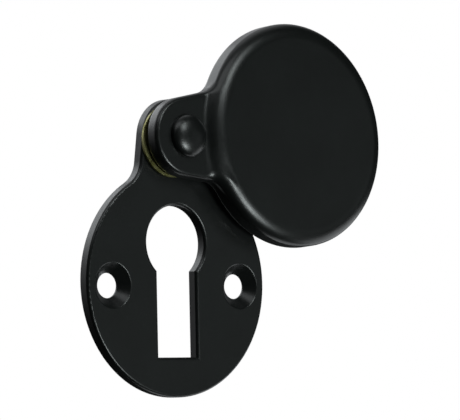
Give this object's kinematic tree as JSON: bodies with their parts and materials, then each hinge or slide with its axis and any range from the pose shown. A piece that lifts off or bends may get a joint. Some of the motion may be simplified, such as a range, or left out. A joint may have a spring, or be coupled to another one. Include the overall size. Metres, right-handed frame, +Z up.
{
  "type": "covered keyhole escutcheon",
  "caption": "Round keyhole plate with a raised round cover that swings on a rivet above the keyhole; black painted brass, held by countersunk screws.",
  "frame": {"origin": "midway between the two screw holes, on the plate's flat back face, 0.4 mm below the centre of its round part", "axes": "+Z up the door towards the pivot, +Y into the door, -Y towards the person at the door, +X to that person's right; shown with the cover swung open to +X"},
  "size_m": [0.0521, 0.0065, 0.0532],
  "materials": {
    "black_paint": "satin black powder coat over brass",
    "bare_brass": "dull, unpolished"
  },
  "bodies": {
    "plate": {"back_plate": "black_paint", "spring_washer": "bare_brass", "pivot_rivet": "black_paint"},
    "cover": {"swing_cover": "black_paint"}
  },
  "joints": [
    {"name": "cover_swing", "type": "hinge", "parent": "plate", "child": "cover", "pos_m": [0, -0.0016, 0.0206], "axis": [0, 0.9986, -0.0523], "continuous": true}
  ]
}
